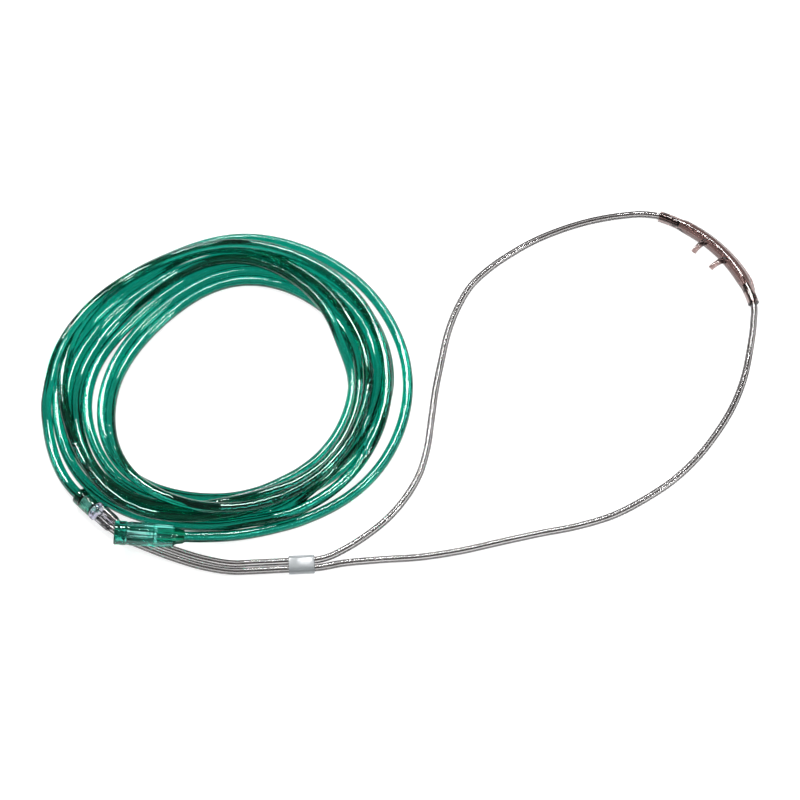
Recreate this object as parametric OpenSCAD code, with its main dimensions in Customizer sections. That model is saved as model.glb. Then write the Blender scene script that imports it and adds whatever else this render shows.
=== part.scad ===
// Nasal oxygen cannula with its supply tube, laid out flat on a table.
// Sizes are in millimetres. +Z is up, the part rests on z = 0, and +X runs from the
// wye towards the nose piece.

/* [Supply tube] */
// Outer diameter of the supply tube
supply_od = 6; // [5.4:0.1:6.6]
// Outer radius of the wound coil
coil_outer_r = 92; // [80:1:93]
// Inner radius of the wound coil
coil_inner_r = 62; // [50:1:72]
// Height of the wound coil, two layers of tube
coil_height = 12; // [8:1:16]

/* [Lariats] */
// Outer diameter of the two lariat tubes
lariat_od = 4.1; // [3.6:0.1:4.6]
// Wall of plastic left between the two lariats where they lie side by side
lariat_web = 0.3; // [0.2:0.1:0.8]

/* [Slide] */
// Length of the slide along the lariats
slide_length = 13.5; // [9:0.5:18]
// Wall of the slide around the lariats
slide_wall = 0.65; // [0.5:0.05:1]
// Room between a lariat and the slide's bore, all round
slide_clearance = 0.3; // [0.2:0.05:0.5]
// How far the slide is drawn back towards the wye
slide_travel = 25; // [10:1:26]

/* [Wye] */
// Length of the body that holds the two lariats
wye_body_length = 10.5; // [8:0.5:12]
// Wall of the body around each lariat
wye_wall = 0.6; // [0.5:0.1:0.9]
// Diameter of the flange that the cuff is pushed up to
flange_od = 10.2; // [9.8:0.1:10.6]
// Thickness of the flange
flange_thickness = 3; // [2:0.5:4]
// Length of the barbed spigot
spigot_length = 7.5; // [5:0.5:9]
// Largest diameter of the spigot's barbs
barb_od = 5.2; // [4.6:0.1:5.6]
// Air passage through the spigot
spigot_bore = 2.6; // [2:0.1:3]

/* [Cuff] */
// Outer diameter of the cuff on the wye's end of the supply tube
cuff_od = 9.8; // [9.2:0.1:10.6]
// Depth of the supply tube in the cuff
cuff_tube_depth = 4.5; // [3:0.5:8]
// Running clearance between the barbs and the cuff's bore, all round
cuff_clearance = 0.05; // [0.02:0.01:0.1]

/* [End connector] */
// Overall length of the end connector
connector_length = 36.3; // [32:0.1:42]
// Outer diameter at the mouth
connector_od = 12.7; // [11.5:0.1:13.5]
// Outer diameter of the body where it ends at the shoulder
connector_tail_od = 11.6; // [10.5:0.1:12]
// Bore that is pushed onto an outlet
socket_bore = 6.2; // [5.6:0.1:7]
// Depth of that bore
socket_depth = 20; // [14:0.5:21]
// Depth of the supply tube in the other end
connector_tube_depth = 14.2; // [8:0.1:15]

/* [Nose piece] */
// Radius that the nose piece is bent to, along its middle
nose_bend_r = 80; // [70:1:90]
// Half of the angle that the nose piece covers
nose_half_angle = 29; // [24:1:32]
// Outer diameter between the prongs
nose_od = 7.5; // [7:0.1:8.5]
// Outer diameter at the two ends
nose_end_od = 6.4; // [5.9:0.1:6.8]
// Air gallery between the two lariats
nose_bore = 3; // [2:0.1:3.4]
// Distance between the two prongs along the bend
prong_spacing = 17; // [14:0.5:20]
// Diameter of a prong's curved end
prong_od = 3.4; // [3:0.1:4]
// Bore of a prong
prong_bore = 2; // [1.4:0.1:2.4]
// Radius that a prong is bent to
prong_bend_r = 7; // [6:0.5:9]

/* [Hidden] */
$fn = 64;
through = 1; // how far a cut runs past the face that it opens

// Coil
coil_centre = [-114, 1, 0];

// Two lariats side by side
pair_half = (lariat_od + lariat_web) / 2;

// Slide, on a straight stretch of the two lariats
slide_bore_r = lariat_od / 2 + slide_clearance;
slide_outer_r = slide_bore_r + slide_wall;
slide_centre = [-69.2, -110.7, slide_outer_r];
slide_yaw = 3;
straight_end = 7; // reach of the straight stretch on the nose side of the slide's centre
straight_start = straight_end + slide_travel;

// Wye and cuff, on one axis, with x = 0 where the cuff meets the flange
wye_origin = [-179.2, -79.8, flange_od / 2];
wye_yaw = -43;
flange_gap = 0.15;
wye_offset = 0.5; // the lariats lie this far to one side of the spigot
wye_lobe_r = lariat_od / 2 + wye_wall;
wye_end = flange_thickness + wye_body_length;
lariat_seat = flange_thickness + 2; // where a lariat ends inside the wye
barb_neck_r = 2.1;
barb_count = 2;
cuff_bore_depth = spigot_length + 0.5;
cuff_length = cuff_bore_depth + cuff_tube_depth;
cuff_edge = 0.6;

// End connector, with x = 0 at the mouth
connector_mouth = [-166.4, -98, 15];
connector_pitch = 9.4;
connector_yaw = 0.6;
lip_length = 6.5;
lip_step = 0.3;
lip_edge = 0.8;
socket_lead = 0.5; // chamfer that leads into the socket
shoulder_length = 1.3;
collar_length = 4.5;
collar_od = supply_od + 2.6;
collar_tip_od = supply_od + 1;
air_hole = 4;

// Nose piece
nose_centre = [103, 37, nose_od / 2];
nose_angle = 39; // direction of the middle of the nose piece from the bend's centre
nose_thick_angle = 18; // half of the angle over which the body is thicker
lariat_nose_depth = 9; // angle of the bend that a lariat reaches into the nose piece
rim_reach = 2.2; // how far the flat rim stands out from the body
rim_thickness = 1.2;
rim_height = 0.4;
rim_half_angle = nose_half_angle - 2;
prong_angle = prong_spacing / nose_bend_r * 90 / PI;
prong_rise = 35; // slope at which a prong leaves the body
prong_sweep = 75; // angle that the prong's end is bent through
prong_root_od = 5.8;
prong_root_length = 4.5;
prong_overlap = 0.8; // how far the bent end reaches back into the root
prong_root_wall = 0.2; // how much wider than the bent end the root is where they meet

// Points on the axis of the wye, the slide, the nose piece and the end connector.
// along is measured on the axis, and aside is to its left.
function level_point(origin, yaw, along, aside = 0) =
    origin + along * [cos(yaw), sin(yaw), 0] + aside * [-sin(yaw), cos(yaw), 0];
function wye_point(along, aside = 0) =
    level_point(wye_origin, wye_yaw, along, aside);
function slide_point(along, aside = 0) =
    level_point(slide_centre, slide_yaw, along, aside);
function nose_point(angle) =
    nose_centre + nose_bend_r * [cos(nose_angle + angle), sin(nose_angle + angle), 0];
function connector_point(along) =
    connector_mouth + along * [
        cos(connector_yaw) * cos(connector_pitch),
        sin(connector_yaw) * cos(connector_pitch),
        -sin(connector_pitch)
    ];

// Middle of the two lariats from the wye to the slide, between the two straight ends
pair_bend = [
    [-160.5, -94.5, 4.3], [-147.5, -100, 3], [-134, -105, 2.2], [-120, -109.5, 2.4]
];

// Each lariat from the slide to the nose piece
left_free = [
    [-55, -106, 2.6], [-47, -101.5, 2.2], [-35, -93, 2.1], [-24.5, -83.5, 2.1],
    [-15.5, -72, 2.1], [-8, -58, 2.1], [-3.5, -42, 2.1], [-1, -24, 2.1], [1.5, -5, 2.1],
    [5, 14, 2.1], [9, 33, 2.1], [15, 50, 2.1], [22.5, 64, 2.1], [33, 75.5, 2.1],
    [46, 86, 2.1], [60.5, 95.5, 2.1], [76, 103, 2.1], [93, 109, 2.1], [110, 112.5, 2.3],
    [124.5, 113, 3.2]
];
right_free = [
    [-47, -109.5, 2.4], [-28, -107.5, 2.1], [-7.5, -106, 2.1], [13.5, -102.5, 2.1],
    [34, -97.5, 2.1], [55, -92.5, 2.1], [76, -88, 2.1], [95.5, -81.5, 2.1],
    [112.5, -72, 2.1], [128, -61, 2.1], [141.5, -48, 2.1], [154, -32, 2.1],
    [164.5, -15, 2.1], [172, 2.5, 2.1], [177, 20.5, 2.3], [180.5, 37.5, 3.2]
];

// Supply tube from the cuff into the coil, and from the coil to the end connector
lead_in_free = [
    [-200.5, -55, 4], [-206, -40, 3.2], [-209, -23.5, 3], [-210, -7, 3], [-208.5, 9, 3],
    [-204.5, 24.5, 3.2], [-197, 37.5, 4], [-187.5, 47, 5]
];
lead_out_free = [
    [-58.5, 71.5, 5], [-45, 65, 3.6], [-33.5, 55, 3], [-25.5, 42, 3], [-19, 26.5, 3],
    [-15, 10, 3], [-13.5, -7, 3], [-15.5, -24, 3], [-21, -40.5, 3], [-29.5, -56, 3],
    [-41, -68.5, 3], [-54.5, -78, 3], [-69.5, -85, 3], [-85, -90, 3.2],
    [-100.5, -94, 4.3], [-116, -96.5, 6.6]
];

// Direction of a route at its point i
function heading(route, i) =
    let (step = route[min(i + 1, len(route) - 1)] - route[max(i - 1, 0)])
    step / norm(step);

// The route moved sideways by a fixed distance, to the left of its direction
function beside(route, distance) = [
    for (i = [0 : len(route) - 1])
        let (h = heading(route, i), left = [-h.y, h.x, 0])
        route[i] + distance * left / norm(left)
];

pair_route = concat(
    [wye_point(lariat_seat, wye_offset), wye_point(wye_end, wye_offset)],
    pair_bend,
    [for (along = [-straight_start, -straight_start / 2, straight_end]) slide_point(along)]
);
left_route = concat(
    beside(pair_route, pair_half),
    left_free,
    [nose_point(nose_half_angle), nose_point(nose_half_angle - lariat_nose_depth)]
);
right_route = concat(
    beside(pair_route, -pair_half),
    right_free,
    [nose_point(-nose_half_angle), nose_point(lariat_nose_depth - nose_half_angle)]
);
lead_in_route = concat(
    [wye_point(-cuff_bore_depth), wye_point(-cuff_length - 4)],
    lead_in_free
);
lead_out_route = concat(
    lead_out_free,
    [connector_point(connector_length), connector_point(connector_length - connector_tube_depth)]
);

// A round tube that follows a route, with one ring of corners at each of its points
module swept_tube(route, diameter, sides) {
    last = len(route) - 1;
    corners = [
        for (i = [0 : last])
            let (h = heading(route, i),
                 left = cross([0, 0, 1], h) / norm(cross([0, 0, 1], h)),
                 up = cross(h, left))
            for (k = [0 : sides - 1])
                route[i] + diameter / 2 * (cos(360 * k / sides) * left + sin(360 * k / sides) * up)
    ];
    walls = [
        for (i = [0 : last - 1], k = [0 : sides - 1])
            let (a = i * sides + k, b = i * sides + (k + 1) % sides)
            for (face = [[a, a + sides, b], [b, a + sides, b + sides]]) face
    ];
    start_cap = [for (k = [0 : sides - 1]) k];
    end_cap = [for (k = [sides - 1 : -1 : 0]) last * sides + k];
    polyhedron(corners, concat([start_cap], walls, [end_cap]), convexity = 20);
}

// Two equal circles side by side and the band between them
module twin_circle(half_spacing, r) {
    for (side = [-1, 1])
        translate([0, side * half_spacing])
            circle(r);
    translate([-r, -half_spacing])
        square([2 * r, 2 * half_spacing]);
}

// A cylinder that lies along +X from one x to another
module bar(from, to, r) {
    translate([from, 0, 0])
        rotate([0, 90, 0])
            cylinder(h = to - from, r = r);
}

// A turned shape along +X, from points of [x, radius]
module turned(profile) {
    rotate([0, 90, 0])
        rotate_extrude()
            polygon([for (p = profile) [p.y, p.x]]);
}

// Part of a ring of round section, centred on angle 0
module bent_bar(bend_r, r, from, to) {
    rotate([0, 0, from])
        rotate_extrude(angle = to - from)
            translate([bend_r, 0])
                circle(r);
}

module place_on_wye() {
    translate(wye_origin)
        rotate([0, 0, wye_yaw])
            children();
}

// A prong's centreline lies in a plane through the bend's centre: a tapered root, then a
// bend over towards the inside of the loop.
module prong(root_r, neck_r, r) {
    rotate([0, -prong_rise, 180]) {
        rotate([0, 90, 0])
            cylinder(h = prong_root_length, r1 = root_r, r2 = neck_r);
        translate([prong_root_length - prong_overlap, 0, -prong_bend_r])
            rotate([90, 0, 0])
                rotate([0, 0, 90 - prong_sweep])
                    rotate_extrude(angle = prong_sweep)
                        translate([prong_bend_r, 0])
                            circle(r);
    }
}

module place_prongs() {
    for (side = [-1, 1])
        rotate([0, 0, side * prong_angle])
            translate([nose_bend_r, 0, 0])
                children();
}

module nose_piece() {
    color("rosybrown")
        translate(nose_centre)
            rotate([0, 0, nose_angle])
                difference() {
                    union() {
                        bent_bar(nose_bend_r, nose_end_od / 2, -nose_half_angle, nose_half_angle);
                        bent_bar(nose_bend_r, nose_od / 2, -nose_thick_angle, nose_thick_angle);
                        translate([0, 0, rim_height - nose_od / 2])
                            rotate([0, 0, -rim_half_angle])
                                rotate_extrude(angle = 2 * rim_half_angle)
                                    translate([nose_bend_r + nose_bore, 0])
                                        square([nose_od / 2 - nose_bore + rim_reach, rim_thickness]);
                        place_prongs()
                            prong(prong_root_od / 2, prong_od / 2 + prong_root_wall, prong_od / 2);
                    }
                    bent_bar(nose_bend_r, nose_bore / 2, -nose_half_angle, nose_half_angle);
                    for (side = [-1, 1])
                        mirror([0, side < 0 ? 1 : 0, 0])
                            bent_bar(nose_bend_r, lariat_od / 2,
                                     nose_half_angle - lariat_nose_depth, nose_half_angle + 1);
                    place_prongs()
                        prong(prong_bore / 2 + prong_root_wall, prong_bore / 2 - prong_root_wall,
                              prong_bore / 2);
                }
}

module lariat_left() {
    color("gainsboro") swept_tube(left_route, lariat_od, 8);
}

module lariat_right() {
    color("lightgray") swept_tube(right_route, lariat_od, 8);
}

module lariat_slide() {
    color("aliceblue")
        translate(slide_centre)
            rotate([0, 0, slide_yaw])
                translate([-slide_length / 2, 0, 0])
                    rotate([0, 90, 0])
                        linear_extrude(slide_length)
                            difference() {
                                twin_circle(pair_half, slide_outer_r);
                                twin_circle(pair_half, slide_bore_r);
                            }
}

module wye_connector() {
    barb_pitch = spigot_length / barb_count;
    barbs = [
        for (k = [0 : barb_count - 1])
            let (back = -k * barb_pitch)
            for (p = [[back, barb_neck_r], [back - barb_pitch / 2, barb_neck_r],
                      [back - barb_pitch / 2, barb_od / 2]]) p
    ];
    color("silver")
        place_on_wye()
            difference() {
                union() {
                    turned(concat([[flange_thickness / 2, 0], [flange_thickness / 2, barb_neck_r]],
                                  barbs,
                                  [[-spigot_length, barb_neck_r - 0.3], [-spigot_length, 0]]));
                    bar(flange_gap, flange_thickness, flange_od / 2);
                    translate([flange_thickness / 2, wye_offset, 0])
                        rotate([0, 90, 0])
                            linear_extrude(wye_end - flange_thickness / 2)
                                twin_circle(pair_half, wye_lobe_r);
                }
                bar(-spigot_length - through, lariat_seat + through, spigot_bore / 2);
                for (side = [-1, 1])
                    translate([0, wye_offset + side * pair_half, 0])
                        bar(lariat_seat, wye_end + through, lariat_od / 2);
            }
}

module supply_cuff() {
    color("darkgreen")
        place_on_wye()
            difference() {
                turned([[0, 0], [0, cuff_od / 2 - cuff_edge], [-cuff_edge, cuff_od / 2],
                        [cuff_edge - cuff_length, cuff_od / 2],
                        [-cuff_length, cuff_od / 2 - cuff_edge], [-cuff_length, 0]]);
                bar(-cuff_bore_depth - through, through, barb_od / 2 + cuff_clearance);
                bar(-cuff_length - through, -cuff_bore_depth, supply_od / 2);
            }
}

module supply_lead_in() {
    color("seagreen") swept_tube(lead_in_route, supply_od, 12);
}

module supply_coil() {
    section_r = coil_height / 2;
    color("mediumseagreen")
        translate(coil_centre)
            rotate_extrude($fn = 128)
                translate([(coil_outer_r + coil_inner_r) / 2, section_r])
                    rotate(90)
                        twin_circle((coil_outer_r - coil_inner_r) / 2 - section_r, section_r);
}

module supply_lead_out() {
    color("seagreen") swept_tube(lead_out_route, supply_od, 12);
}

module end_connector() {
    body_end = connector_length - collar_length - shoulder_length;
    color("aquamarine")
        translate(connector_mouth)
            rotate([0, connector_pitch, connector_yaw])
                difference() {
                    turned([
                        [0, 0],
                        [0, connector_od / 2 - lip_edge],
                        [lip_edge, connector_od / 2],
                        [lip_length - lip_step, connector_od / 2],
                        [lip_length, connector_od / 2 - lip_step],
                        [body_end, connector_tail_od / 2],
                        [body_end + shoulder_length, collar_od / 2],
                        [connector_length, collar_tip_od / 2],
                        [connector_length, 0]
                    ]);
                    turned([
                        [-through, 0],
                        [-through, socket_bore / 2 + socket_lead + through],
                        [socket_lead, socket_bore / 2],
                        [socket_depth, socket_bore / 2],
                        [socket_depth + socket_lead, air_hole / 2],
                        [connector_length, air_hole / 2],
                        [connector_length, 0]
                    ]);
                    bar(connector_length - connector_tube_depth, connector_length + through,
                        supply_od / 2);
                }
}

nose_piece();
lariat_left();
lariat_right();
lariat_slide();
wye_connector();
supply_cuff();
supply_lead_in();
supply_coil();
supply_lead_out();
end_connector();
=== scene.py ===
"""Nasal oxygen cannula with its coiled supply tube, laid out on a pale table.

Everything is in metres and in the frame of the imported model. The classes hold their
sizes in millimetres, as a drawing does, and MM turns them into metres.
"""

import logging
import math
from dataclasses import dataclass, field
from enum import Enum
from typing import Sequence

import bmesh
import bpy
import numpy as np
from mathutils import Matrix, Vector


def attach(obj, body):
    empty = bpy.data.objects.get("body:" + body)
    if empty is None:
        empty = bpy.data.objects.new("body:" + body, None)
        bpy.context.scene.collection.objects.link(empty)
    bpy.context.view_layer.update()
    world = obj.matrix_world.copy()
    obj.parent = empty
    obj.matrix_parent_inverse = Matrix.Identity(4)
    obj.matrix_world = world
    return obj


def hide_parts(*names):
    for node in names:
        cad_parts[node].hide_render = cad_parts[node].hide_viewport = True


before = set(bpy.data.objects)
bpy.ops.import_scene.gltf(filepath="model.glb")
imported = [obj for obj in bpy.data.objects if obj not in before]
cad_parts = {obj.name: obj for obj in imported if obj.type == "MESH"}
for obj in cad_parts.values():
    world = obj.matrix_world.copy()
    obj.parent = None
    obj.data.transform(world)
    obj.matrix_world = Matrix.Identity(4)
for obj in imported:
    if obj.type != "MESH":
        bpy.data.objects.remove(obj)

MM = 0.001
SIDES = 48  # steps round a turned piece
log = logging.getLogger("cannula")

Pair = tuple[float, float]
Triple = tuple[float, float, float]
Socket = bpy.types.NodeSocket
BMesh = bmesh.types.BMesh
Verts = list[bmesh.types.BMVert]
Edges = list[bmesh.types.BMEdge]


class Body(Enum):
    """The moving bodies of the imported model."""

    CANNULA = "cannula"
    SLIDE = "slide"
    SUPPLY = "supply"


class Slot(Enum):
    """The record's material slots."""

    NOSE = "nose_vinyl"
    LARIAT = "lariat_tube"
    SLIDE = "slide_plastic"
    WYE = "wye_plastic"
    FITTING = "supply_fitting"
    SUPPLY = "supply_tube"


# --------------------------------------------------------------------------- shaders


class Wire:
    """A shader socket that Python's operators add Math nodes to."""

    def __init__(self, graph: "Graph", socket: Socket) -> None:
        """Wraps one output socket of a graph."""
        self.graph = graph
        self.socket = socket

    def _math(self, operation: str, first: object, second: object) -> "Wire":
        """Adds a Math node.

        Args:
            operation: The node's operation.
            first: Its first value, a wire or a number.
            second: Its second value, a wire or a number.

        Returns:
            The node's output.
        """
        node = self.graph.node("ShaderNodeMath", {"operation": operation}, {0: first, 1: second})
        return Wire(self.graph, node.outputs[0])

    def __add__(self, other: object) -> "Wire":
        """This plus the other."""
        return self._math("ADD", self, other)

    def __radd__(self, other: object) -> "Wire":
        """The other plus this."""
        return self._math("ADD", other, self)

    def __sub__(self, other: object) -> "Wire":
        """This less the other."""
        return self._math("SUBTRACT", self, other)

    def __rsub__(self, other: object) -> "Wire":
        """The other less this."""
        return self._math("SUBTRACT", other, self)

    def __mul__(self, other: object) -> "Wire":
        """This times the other."""
        return self._math("MULTIPLY", self, other)

    def __rmul__(self, other: object) -> "Wire":
        """The other times this."""
        return self._math("MULTIPLY", other, self)

    def kept(self) -> "Wire":
        """This, kept between 0 and 1."""
        return Wire(self.graph, self.graph.node("ShaderNodeClamp", None, {0: self}).outputs[0])

    def above(self, limit: float) -> "Wire":
        """1 where this is more than the limit, and 0 elsewhere."""
        return self._math("GREATER_THAN", self, limit)

    def within(self, low: float, high: float) -> "Wire":
        """1 where this lies between two limits, and 0 elsewhere."""
        return self.above(low) - self.above(high)


class Graph:
    """The node tree of one material."""

    def __init__(self, name: str) -> None:
        """Makes an empty material of that name."""
        self.material = bpy.data.materials.new(name)
        self.material.use_nodes = True
        self.tree = self.material.node_tree
        self.tree.nodes.clear()
        self.output = self.node("ShaderNodeOutputMaterial")

    def node(
        self,
        kind: str,
        settings: dict[str, object] | None = None,
        values: dict[str | int, object] | None = None,
    ) -> bpy.types.Node:
        """Adds a node.

        Args:
            kind: The node's type.
            settings: Its properties.
            values: Numbers, colours, sockets or wires for its inputs, by name or number.

        Returns:
            The new node.
        """
        node = self.tree.nodes.new(kind)
        for key, value in (settings or {}).items():
            setattr(node, key, value)
        for key, value in (values or {}).items():
            socket = node.inputs[key]
            if isinstance(value, Wire):
                value = value.socket
            if isinstance(value, Socket):
                self.tree.links.new(value, socket)
            else:
                socket.default_value = value
        return node

    def place(self, attribute: str | None) -> Socket:
        """The coordinates that patterns read: a named attribute, or the object's own."""
        if attribute:
            return self.node("ShaderNodeAttribute", {"attribute_name": attribute}).outputs["Vector"]
        return self.node("ShaderNodeTexCoord").outputs["Object"]

    def parts(self, place: Socket) -> list[Wire]:
        """The three numbers of a vector."""
        return [Wire(self, part) for part in self.node("ShaderNodeSeparateXYZ", None, {0: place}).outputs]

    def noise(
        self,
        place: Socket,
        scale: float,
        stretch: Triple = (1.0, 1.0, 1.0),
        detail: float = 2.0,
    ) -> Wire:
        """A noise pattern.

        Args:
            place: The coordinates that it reads.
            scale: How fine it is, in cycles per metre.
            stretch: Its relative fineness along the three directions.
            detail: How many finer layers are added.

        Returns:
            The pattern, from 0 to 1.
        """
        mapping = self.node("ShaderNodeMapping", None, {"Vector": place, "Scale": stretch})
        noise = self.node(
            "ShaderNodeTexNoise",
            {"noise_dimensions": "3D"},
            {"Vector": mapping.outputs[0], "Scale": scale, "Detail": detail},
        )
        return Wire(self, noise.outputs[0])

    def mix(self, share: Wire, low: object, high: object) -> Socket:
        """A colour between two colours or colour sockets, by a share from 0 to 1."""
        ends = {
            index: colour if isinstance(colour, Socket) else (*colour, 1.0)
            for index, colour in ((6, low), (7, high))
        }
        return self.node("ShaderNodeMix", {"data_type": "RGBA"}, {0: share, **ends}).outputs[2]

    def bump(self, height: Wire, strength: float, distance: float) -> Socket:
        """A normal that is tilted by a height pattern."""
        return self.node(
            "ShaderNodeBump", None, {"Height": height, "Strength": strength, "Distance": distance}
        ).outputs[0]

    def finish(self, surface: bpy.types.Node, volume: bpy.types.Node | None = None) -> bpy.types.Material:
        """Joins the surface, and the inside where there is one, to the output."""
        self.tree.links.new(surface.outputs[0], self.output.inputs["Surface"])
        if volume is not None:
            self.tree.links.new(volume.outputs[0], self.output.inputs["Volume"])
        return self.material


@dataclass(frozen=True)
class ClearPlastic:
    """A see-through plastic that is coloured by how much of it light goes through.

    bands are spans along the piece, in millimetres, where the faces have a colour of their own. A span of
    radii, in millimetres, holds the wall of its bore; the faces there get painted shade, a darker colour
    that stands in for the dark lines that refraction draws along the bore.
    """

    name: str
    tint: Triple
    density: float
    face: Triple = (1.0, 1.0, 1.0)
    face_worn: Triple = (0.93, 0.95, 0.94)
    roughness: float = 0.04
    roughness_spread: float = 0.03
    ripple: float = 0.1
    ripple_scale: float = 260.0
    ior: float = 1.5
    clear: float = 1.0
    gloss_tint: Triple = (1.0, 1.0, 1.0)
    attribute: str | None = None
    stretch: Triple = (1.0, 1.0, 1.0)
    haze_scale: float = 90.0
    ripple_height: float = 0.2
    bands: tuple[Pair, ...] = ()
    band_face: Triple = (1.0, 1.0, 1.0)
    bore_painted_shade_radii: Pair | None = None
    bore_painted_shade_colour: Triple = (1.0, 1.0, 1.0)

    def faces(self, graph: Graph, place: Socket, haze: Wire) -> Socket:
        """The colour of the faces: mottled, darker in bands along the piece, and darkened round the bore
        with painted shade.

        Args:
            graph: The material's nodes.
            place: The coordinates that patterns read.
            haze: The mottling, from 0 to 1.

        Returns:
            The colour's socket.
        """
        colour = graph.mix(haze, self.face, self.face_worn)
        if self.bands or self.bore_painted_shade_radii:
            along, across, up = graph.parts(place)
        for start, end in self.bands:
            colour = graph.mix(along.within(start * MM, end * MM), colour, self.band_face)
        # painted shade: the faces within the span of radii round the bore are darkened
        if self.bore_painted_shade_radii:
            low, high = ((radius * MM) ** 2 for radius in self.bore_painted_shade_radii)
            colour = graph.mix((across * across + up * up).within(low, high), colour, self.bore_painted_shade_colour)
        return colour

    def material(self) -> bpy.types.Material:
        """Makes the material: clear faces with faint flow marks, and a tinted inside."""
        graph = Graph(self.name)
        place = graph.place(self.attribute)
        flow = graph.noise(place, self.ripple_scale, self.stretch, detail=3.0)
        haze = graph.noise(place, self.haze_scale, detail=4.0)
        shader = graph.node(
            "ShaderNodeBsdfPrincipled",
            {"distribution": "MULTI_GGX"},
            {
                "Base Color": self.faces(graph, place, haze),
                "Roughness": self.roughness + haze * self.roughness_spread,
                "IOR": self.ior,
                "Transmission Weight": self.clear,
                "Specular Tint": (*self.gloss_tint, 1.0),
                "Normal": graph.bump(flow, self.ripple, self.ripple_height * MM),
            },
        )
        inside = graph.node(
            "ShaderNodeVolumeAbsorption", None, {"Color": (*self.tint, 1.0), "Density": self.density}
        )
        return graph.finish(shader, inside)


@dataclass(frozen=True)
class TableTop:
    """The plain pale surface that everything lies on. It glows, and less so on its left."""

    name: str = "table_top"
    colour: Triple = (0.4, 0.4, 0.4)
    mottling: float = 0.995
    mottle_scale: float = 3.0
    glow: float = 1.1
    dimmer: float = 0.72
    reach: float = 0.3

    def material(self) -> bpy.types.Material:
        """Makes a matt, softly lit white with the faintest mottling."""
        graph = Graph(self.name)
        place = graph.place(None)
        mottle = graph.noise(place, self.mottle_scale)
        glow = (graph.parts(place)[0] * (0.5 / self.reach) + 0.5).kept()
        shader = graph.node(
            "ShaderNodeBsdfPrincipled",
            None,
            {
                "Base Color": graph.mix(mottle, self.colour, [c * self.mottling for c in self.colour]),
                "Roughness": 0.9,
                "Specular IOR Level": 0.1,
                "Emission Color": graph.mix(glow, [self.dimmer] * 3, (1.0, 1.0, 1.0)),
                "Emission Strength": self.glow,
            },
        )
        return graph.finish(shader)


STRAIGHT = "straight"  # attribute: a tube's surface as if the tube lay straight

GREEN_VINYL = ClearPlastic(
    name="green_tube_vinyl",
    tint=(0.0, 0.75, 0.67),
    density=700.0,
    # painted shade: the bore's wall is painted dark green
    bore_painted_shade_radii=(0.0, 2.5),
    bore_painted_shade_colour=(0.05, 0.55, 0.48),
    gloss_tint=(0.8, 1.0, 0.97),
    roughness=0.02,
    ripple_scale=420.0,
    attribute=STRAIGHT,
    stretch=(0.03, 1.0, 1.0),
)
CLEAR_VINYL = ClearPlastic(
    name="clear_tube_vinyl",
    tint=(0.5, 0.47, 0.47),
    density=320.0,
    # painted shade: near-black stripes painted in the lobes of the bore
    bore_painted_shade_radii=(1.1, 1.6),
    bore_painted_shade_colour=(0.05, 0.042, 0.042),
    roughness=0.02,
    ripple=0.15,
    ripple_scale=520.0,
    attribute=STRAIGHT,
    stretch=(0.03, 1.0, 1.0),
)
NOSE_VINYL = ClearPlastic(
    name="nose_vinyl",
    tint=(0.6, 0.515, 0.504),
    density=530.0,
    face=(0.67, 0.58, 0.56),
    face_worn=(0.62, 0.53, 0.52),
)
WYE_PLASTIC = ClearPlastic(
    name="wye_clear_plastic",
    tint=(0.60, 0.58, 0.72),
    density=180.0,
    roughness=0.03,
    roughness_spread=0.06,
    ior=1.57,
)
SLIDE_PLASTIC = ClearPlastic(
    name="slide_milky_plastic",
    tint=(0.80, 0.84, 0.86),
    density=300.0,
    face=(0.66, 0.69, 0.71),
    face_worn=(0.60, 0.64, 0.65),
    roughness=0.18,
    roughness_spread=0.06,
    clear=0.6,
)
CONNECTOR_VINYL = ClearPlastic(
    name="connector_pale_vinyl",
    tint=(0.0, 0.87, 0.78),
    density=170.0,
    gloss_tint=(0.8, 1.0, 0.97),
    ripple=0.15,
    attribute=STRAIGHT,
    bands=((-1.0, 6.6), (20.0, 20.6), (30.6, 40.0)),
    band_face=(0.12, 0.6, 0.5),
)
CUFF_VINYL = ClearPlastic(
    name="cuff_green_vinyl",
    tint=(0.0, 0.6, 0.48),
    density=480.0,
    ripple=0.15,
)


# ------------------------------------------------------------------------- mesh making


def spin(degrees: float, axis: str, size: int = 4) -> Matrix:
    """A rotation about the X, Y or Z axis."""
    return Matrix.Rotation(math.radians(degrees), size, axis)


def extruded(bm: BMesh, edges: Edges) -> tuple[Verts, Edges]:
    """Extrudes a ring of edges.

    Args:
        bm: The mesh.
        edges: The ring, which is an open edge of the mesh.

    Returns:
        The vertices and the edges of the new ring, which lies on the old one.
    """
    made = bmesh.ops.extrude_edge_only(bm, edges=edges)["geom"]
    verts = [v for v in made if isinstance(v, bmesh.types.BMVert)]
    return verts, [e for e in made if isinstance(e, bmesh.types.BMEdge) and e.is_boundary]


def mesh_from(name: str, bm: BMesh) -> bpy.types.Mesh:
    """Turns a bmesh into a mesh.

    Args:
        name: The mesh's name.
        bm: What to turn into it. It is freed.

    Returns:
        The mesh.
    """
    mesh = bpy.data.meshes.new(name)
    bm.to_mesh(mesh)
    bm.free()
    return mesh


def placed(name: str, data: bpy.types.ID) -> bpy.types.Object:
    """Makes an object of that data in the scene, at the origin."""
    obj = bpy.data.objects.new(name, data)
    bpy.context.scene.collection.objects.link(obj)
    return obj


def closed_up(bm: BMesh) -> BMesh:
    """Merges doubled vertices and turns all faces outwards."""
    bmesh.ops.remove_doubles(bm, verts=bm.verts, dist=1e-7)
    bmesh.ops.recalc_face_normals(bm, faces=bm.faces)
    return bm


def groove(at: float, radius: float, depth: float, half_width: float) -> list[Pair]:
    """The three points of a profile that cut a shallow groove round a piece."""
    return [(at - half_width, radius), (at, radius - depth), (at + half_width, radius)]


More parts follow.
